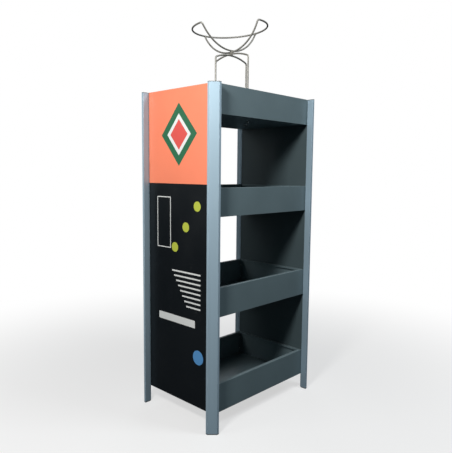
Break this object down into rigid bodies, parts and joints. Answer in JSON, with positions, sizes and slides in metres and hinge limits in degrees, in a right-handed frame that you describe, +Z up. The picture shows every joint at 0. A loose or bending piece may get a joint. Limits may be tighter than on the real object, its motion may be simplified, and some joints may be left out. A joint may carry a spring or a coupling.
{
  "type": "display stand",
  "caption": "Retail display stand: stacked deep trays between corner posts, printed side panels, and a wire ball cradle on hoop legs on top.",
  "frame": {"origin": "on the floor, under the middle of the stand", "axes": "+X to the right along the front, +Y towards the back, +Z up; the front faces -Y"},
  "size_m": [0.732, 0.508, 1.8371],
  "materials": {
    "post_aluminium": "satin",
    "cap_plastic": "matte",
    "tray_steel": "satin",
    "panel_board": "matte",
    "film_orange": "satin",
    "film_black": "satin",
    "film_green": "satin",
    "film_white": "satin",
    "film_red": "satin",
    "film_lime": "satin",
    "film_blue": "satin",
    "wire_steel": "satin",
    "zinc_fixings": "satin"
  },
  "bodies": {
    "root": {"post_front_left": "post_aluminium", "top_cap_front_left": "cap_plastic", "foot_front_left": "cap_plastic", "post_front_right": "post_aluminium", "top_cap_front_right": "cap_plastic", "foot_front_right": "cap_plastic", "post_back_left": "post_aluminium", "top_cap_back_left": "cap_plastic", "foot_back_left": "cap_plastic", "post_back_right": "post_aluminium", "top_cap_back_right": "cap_plastic", "foot_back_right": "cap_plastic", "side_panel_left": "panel_board", "header_film_left": "film_orange", "lower_film_left": "film_black", "badge_border_left": "film_green", "badge_field_left": "film_white", "badge_heart_left": "film_red", "print_dots_left": "film_lime", "print_lines_left": "film_white", "print_disc_left": "film_blue", "side_panel_right": "panel_board", "header_film_right": "film_orange", "lower_film_right": "film_black", "badge_border_right": "film_green", "badge_field_right": "film_white", "badge_heart_right": "film_red", "print_dots_right": "film_lime", "print_lines_right": "film_white", "print_disc_right": "film_blue", "tray_1": "tray_steel", "tray_1_screws": "zinc_fixings", "tray_2": "tray_steel", "tray_2_screws": "zinc_fixings", "tray_3": "tray_steel", "tray_3_screws": "zinc_fixings", "tray_4": "tray_steel", "tray_4_screws": "zinc_fixings", "leg_hoop_side": "wire_steel", "leg_hoop_front_back": "wire_steel", "ball_cradle": "wire_steel", "hoop_nuts": "zinc_fixings", "hoop_washers": "zinc_fixings"}
  },
  "joints": []
}
